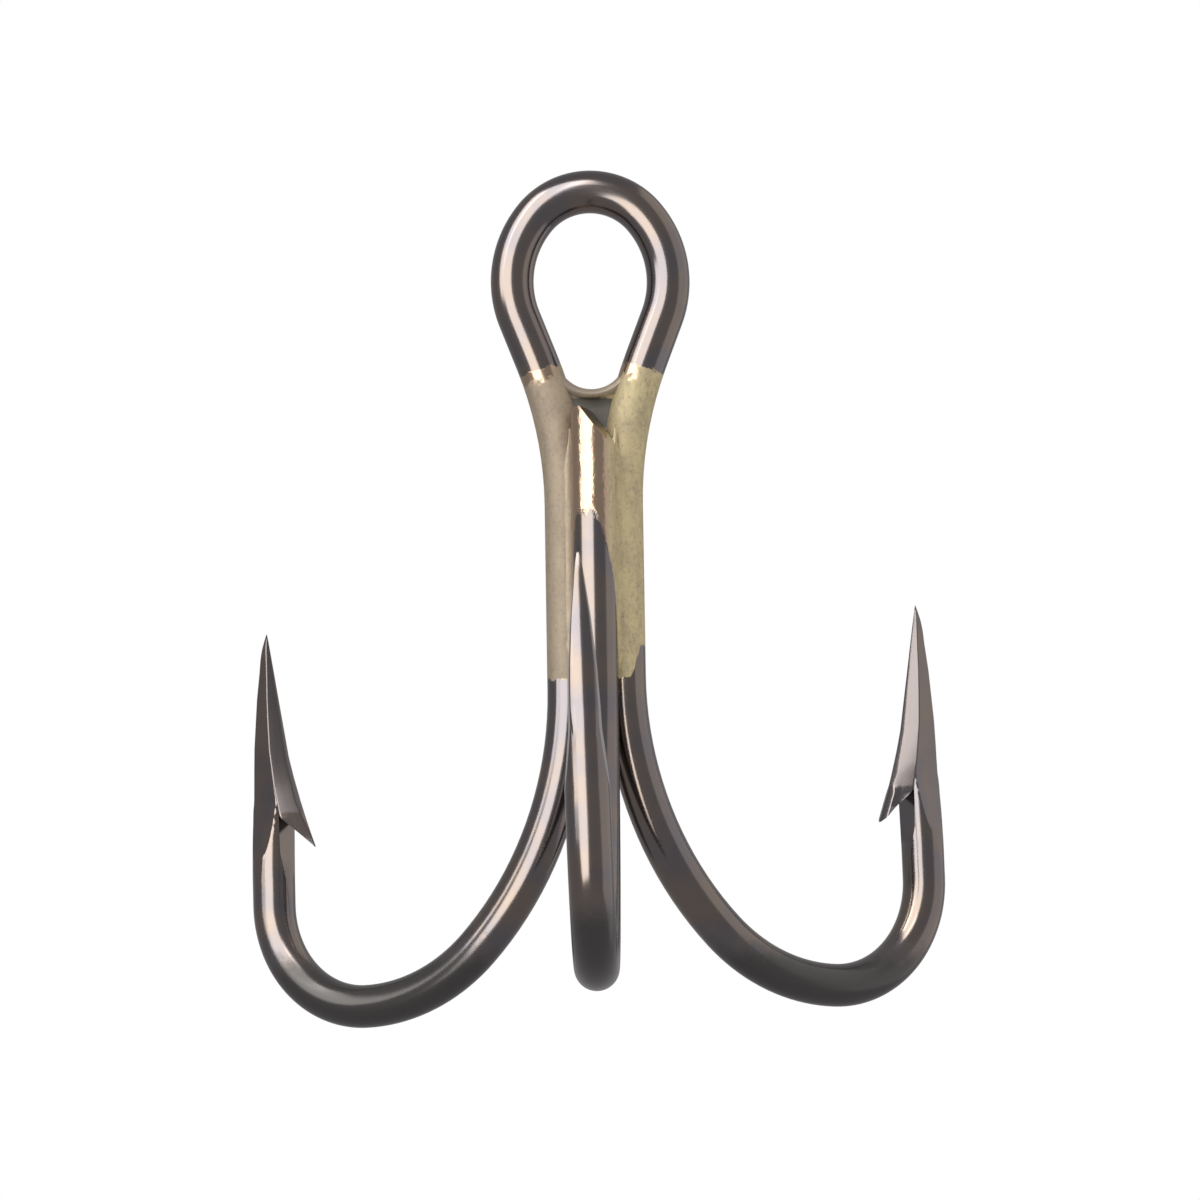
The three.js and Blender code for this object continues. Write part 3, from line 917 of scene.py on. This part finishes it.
def skin_on_third(finish, place, ragged):
    x, y, z = finish.split(place)
    reach = THIRD_RIGHT_REACH * finish.ramp(x, 0.0, 1.3) + THIRD_BACK_REACH * finish.ramp(y, -2.9, -1.4)
    skin = finish.ramp(z - THIRD_BOTTOM + reach - 1.6 * ragged, 0.0, THIRD_EDGE)
    return skin, skin * finish.ramp(x + 0.5 * ragged, 0.72, 0.95)


print(f"skin on the pair from {PAIR_TOP} to {PAIR_BOTTOM} mm, on the third down to {THIRD_BOTTOM} mm")

# %% [markdown]
# The wire is plated black nickel with a bronze cast. It is a mirror, only darker: fully
# metallic, smooth, with drawing marks that run along the wire and faint clouds of brown and
# violet where the plating is thicker. The ground facets are greyer and satin. On the bottoms of
# the bends a painted shade makes the plating nearly black, so it mirrors little and the highlights end
# there.

# %% Plated wire with a gold skin
PLATE_BROWN = rgb(0.185, 0.155, 0.135)
PLATE_VIOLET = rgb(0.150, 0.140, 0.148)
PLATE_GROUND = rgb(0.135, 0.122, 0.122)
# Painted shade: the nearly black colour painted on the bottoms of the bends.
PAINTED_SHADE_PLATE = rgb(0.036, 0.032, 0.032)
FLUSH_GOLD = rgb(0.40, 0.30, 0.215)
PAINTED_SHADE_BELOW = -38.4


def plate_colour(finish, place, ground, low):
    clouds = finish.ramp(finish.noise(place, 0.35, 3), 0.35, 0.65)
    plate = finish.mix(clouds, PLATE_BROWN, PLATE_VIOLET)
    return finish.mix(low, finish.mix(ground, plate, PLATE_GROUND), PAINTED_SHADE_PLATE)


def plated_wire(name, skin_on, wobble):
    finish = Finish(bpy.data.materials.new(name))
    place = finish.place()
    along = finish.node("ShaderNodeAttribute", {"attribute_name": "along_wire"}, None, "Vector")
    along = finish.in_millimetres(along)
    ground = finish.node("ShaderNodeAttribute", {"attribute_name": "ground"}, None, "Fac")
    marks = finish.noise(finish.stretched(along, (9, 9, 0.35)), 1.0, 4, 0.65)
    grains = finish.noise(place, 7.0, 3, 0.6)
    waves = finish.noise(finish.stretched(place, (1, 1, 0.6)), 1.5, 3, 0.6)
    ragged = finish.noise(place, 1.6, 4, 0.65) - 0.5
    # low is a painted shade: below a set height the wire is painted nearly black and its metal is turned
    # off, so the highlights end there.
    low = finish.ramp(PAINTED_SHADE_BELOW + 1.5 * ragged - finish.split(place)[2], -0.8, 1.4)

    skin, dull = skin_on(finish, place, ragged)
    colour = finish.mix(skin, plate_colour(finish, place, ground, low), FLUSH_GOLD)
    colour = finish.mix(dull, colour, mottled_gold(finish, place))
    height = marks * 0.2 + skin * (0.2 + grains * 0.15 + waves * wobble)
    height = height + dull * (grains * 0.4 - waves * wobble)
    rough = 0.13 + marks * 0.08 + skin * grains * 0.08 + dull * 0.45 + low * 0.05
    return finish.surface({
        "Base Color": colour,
        "Metallic": 1 - dull * 0.85 - low,
        "Roughness": rough + ground * (0.1 + grains * 0.1),
        "Normal": finish.bump(height, 0.28, 0.02),
    })


eye_and_two_hooks.data.materials.append(plated_wire("plated_wire_skin_on_pair", skin_on_pair, 2))
third_hook.data.materials.append(plated_wire("plated_wire_skin_on_third", skin_on_third, 11))

# %% [markdown]
# The brass in the grooves and under the eye has the same dull gold face, pitted and uneven
# where the flux boiled off. The lip of the saddle is browner. The hollow between the lip and
# the sheared end of the third shank is painted nearly black, a painted shade for the recess.

# %% Furnace brass
LIP_BROWN = rgb(0.27, 0.225, 0.18)
# Painted shade for the hollow under the lip.
RECESS_SHADE_COLOUR = rgb(0.045, 0.044, 0.039)
RECESS_SHADE_TOP = -6.85
RECESS_SHADE_BOTTOM = -9.0


def furnace_brass():
    finish = Finish(bpy.data.materials.new("furnace_brass"))
    place = finish.place()
    z = finish.split(place)[2]
    ragged = finish.noise(place, 1.8, 4, 0.65) - 0.5
    # A painted shade: the hollow under the lip, down to the sheared end of the third shank, is painted
    # nearly black.
    under_lip = finish.ramp(RECESS_SHADE_TOP + 0.3 * ragged - z, 0.0, 0.15)
    recess_shade = under_lip * finish.ramp(z + 0.8 * ragged - RECESS_SHADE_BOTTOM, 0.0, 0.4)
    on_lip = finish.ramp(z + 0.3 * ragged - RECESS_SHADE_TOP, 0.0, 0.2)
    colour = finish.mix(on_lip * 0.8, mottled_gold(finish, place), LIP_BROWN)
    blotch = finish.ramp(finish.noise(place, 1.4, 4, 0.7), 0.3, 0.7)
    pits = finish.noise(place, 6.0, 4, 0.6)
    return finish.surface({
        "Base Color": finish.mix(recess_shade * 0.95, colour, RECESS_SHADE_COLOUR),
        "Metallic": 0.3 - 0.2 * blotch,
        "Roughness": 0.5 + 0.12 * blotch,
        "Normal": finish.bump(pits, 0.2, 0.03),
    })


brass = furnace_brass()
for piece in (left_groove_braze, right_groove_braze, core_braze, eye_saddle_braze):
    piece.data.materials.append(brass)

# %% [markdown]
# ## Studio
#
# Polished wire shows its surroundings, so the light decides how it reads. A tall softbox stands
# at the left of the camera and draws the long bright stripe down every wire, a wing beside it
# widens the stripe, and a small panel high in front lights the facets of the points. A dim panel
# at the right lifts the other side. Dull brass is lit by a broad fill from the front that the
# mirrors don't show, and the three bright lights don't light what is dull.
#
# Each light is placed by what it covers as seen from the hook: its azimuth, the heights of its
# lower and upper edge, and its spread, all in degrees.

# %% Lights
SUBJECT = (cad_box[0] + cad_box[1]) / 2
LIGHT_DISTANCE = 0.6
WARM = (1, 0.965, 0.92)
NEARLY_WHITE = (1, 0.97, 0.95)
WHITE = (1, 0.98, 0.96)


def softbox(name, azimuth, low, high, spread, radiance, colour):
    middle, turn = math.radians((low + high) / 2), math.radians(azimuth)
    level = math.cos(middle)
    way = Vector((math.sin(turn) * level, -math.cos(turn) * level, math.sin(middle)))
    data = bpy.data.lights.new(name, "AREA")
    data.shape = "RECTANGLE"
    data.size = 2 * LIGHT_DISTANCE * math.tan(math.radians(spread / 2))
    data.size_y = 2 * LIGHT_DISTANCE * math.tan(math.radians((high - low) / 2))
    data.energy = radiance * math.pi * data.size * data.size_y
    data.color = colour
    lamp = bpy.data.objects.new(name, data)
    lamp.location = SUBJECT + way * LIGHT_DISTANCE
    lamp.rotation_euler = way.to_track_quat("Z", "Y").to_euler()
    lamp.visible_camera = False
    bpy.context.scene.collection.objects.link(lamp)
    print(f"{name}: {data.size:.2f} x {data.size_y:.2f} m")
    return lamp


key_softbox = softbox("key_softbox", -28, -28, 60, 44, 4.6, WARM)
key_wing = softbox("key_wing", -60.5, 4, 60, 22, 4.6, WARM)
top_panel = softbox("top_panel", -4, 32, 54, 11, 3.2, WARM)
for lamp in (key_softbox, key_wing, top_panel):
    lamp.visible_diffuse = False
softbox("right_panel", 95, -30, 60, 70, 0.55, NEARLY_WHITE)
front_fill = softbox("front_fill", -8, -20, 70, 100, 1.0, WHITE)
front_fill.visible_glossy = False

# %% [markdown]
# The world is white to the camera, as the backdrop, and grey to everything else, so that the
# mirrors stay dark between the lights.

# %% World
studio = Finish(bpy.data.worlds.new("studio"))
bpy.context.scene.world = studio.owner
to_camera = studio.node("ShaderNodeLightPath", None, None, "Is Camera Ray")
around = studio.node("ShaderNodeBackground", None, {"Color": rgb(0.42, 0.41, 0.42)})
backdrop = studio.node("ShaderNodeBackground", None, {"Color": rgb(1, 1, 1)})
shown = studio.node("ShaderNodeMixShader", None, {0: to_camera, 1: around, 2: backdrop})
studio.node("ShaderNodeOutputWorld", None, {"Surface": shown})
bpy.context.scene.view_settings.view_transform = "Standard"
print("world made of", len(studio.tree.nodes), "nodes")

# %% [markdown]
# The hook hangs well above a plain pale floor. The floor glows a little, so it stays even, and
# neither lights the hook nor is mirrored in it.

# %% Floor
FLOOR_HEIGHT = -0.15
FLOOR_SIZE = 4.0

floor_bm = bmesh.new()
bmesh.ops.create_grid(floor_bm, x_segments=1, y_segments=1, size=FLOOR_SIZE / 2,
                      matrix=Matrix.Translation((0, 0, FLOOR_HEIGHT)))
floor_mesh = bpy.data.meshes.new("floor")
floor_bm.to_mesh(floor_mesh)
floor_bm.free()
floor = bpy.data.objects.new("floor", floor_mesh)
bpy.context.scene.collection.objects.link(floor)
paper = Finish(bpy.data.materials.new("pale_paper"))
floor.data.materials.append(paper.surface({
    "Base Color": rgb(0.2, 0.2, 0.2),
    "Roughness": 1.0,
    "Emission Color": rgb(0.66, 0.66, 0.655),
    "Emission Strength": 1.0,
}))
floor.visible_glossy = False
floor.visible_diffuse = False
floor.visible_shadow = False
floor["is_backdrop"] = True
print(f"floor {FLOOR_SIZE:.0f} m wide, {SUBJECT.z - FLOOR_HEIGHT:.2f} m below the middle of the hook")

# %% [markdown]
# ## Compare with the frame
#
# The box of the finished object has to be the box of the frame.

# %% Sizes of both boxes
visual_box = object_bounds()
sizes = {
    "cad": [list(corner) for corner in cad_box],
    "visual": [list(corner) for corner in visual_box],
}
for name, (low, high) in sizes.items():
    print(name, [round((b - a) / MM, 2) for a, b in zip(low, high)], "mm")
